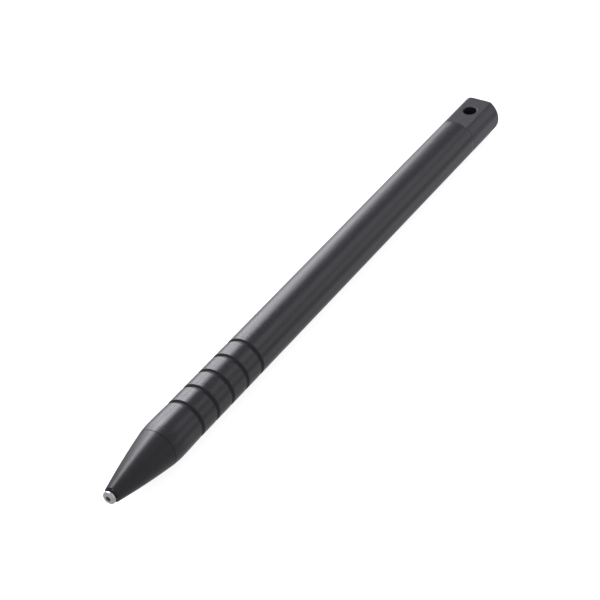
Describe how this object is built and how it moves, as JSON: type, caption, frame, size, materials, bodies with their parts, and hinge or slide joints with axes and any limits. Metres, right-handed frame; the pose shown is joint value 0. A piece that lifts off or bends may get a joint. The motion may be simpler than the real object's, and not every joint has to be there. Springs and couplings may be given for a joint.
{
  "type": "stylus pen",
  "caption": "Slim black stylus for a handheld computer: ringed grip, tapered nose with a sprung bright tip, and a flat tail with a tether hole.",
  "frame": {"origin": "under the middle of the pen's length, on the surface that its lowest side lies on", "axes": "+X along the pen from the nose to the tail, +Z out of the flat that carries the tether hole, +Y to the left when looking from the nose along the pen"},
  "size_m": [0.1186, 0.0076, 0.0076],
  "materials": {
    "barrel_shell": "fine spark-eroded texture, satin",
    "nose_shell": "fine spark-eroded texture, satin",
    "tail_shell": "fine spark-eroded texture, satin",
    "tip_plating": "bright nickel plate over turned brass",
    "nib_acetal": "smooth dark acetal",
    "plunger_acetal": "natural acetal",
    "spring_wire": "drawn spring wire",
    "seat_brass": "as turned"
  },
  "bodies": {
    "pen": {"barrel": "barrel_shell", "nose_cone": "nose_shell", "spring_seat": "seat_brass", "tail_plug": "tail_shell", "return_spring": "spring_wire"},
    "tip": {"tip_ferrule": "tip_plating", "nib": "nib_acetal", "plunger": "plunger_acetal"}
  },
  "joints": [
    {"name": "nib_press", "type": "slide", "parent": "pen", "child": "tip", "axis": [1, 0, 0], "range_m": [0, 0.00045], "stiffness_N_per_m": 400, "springref_m": -0.0008, "deforming": ["return_spring"]}
  ]
}
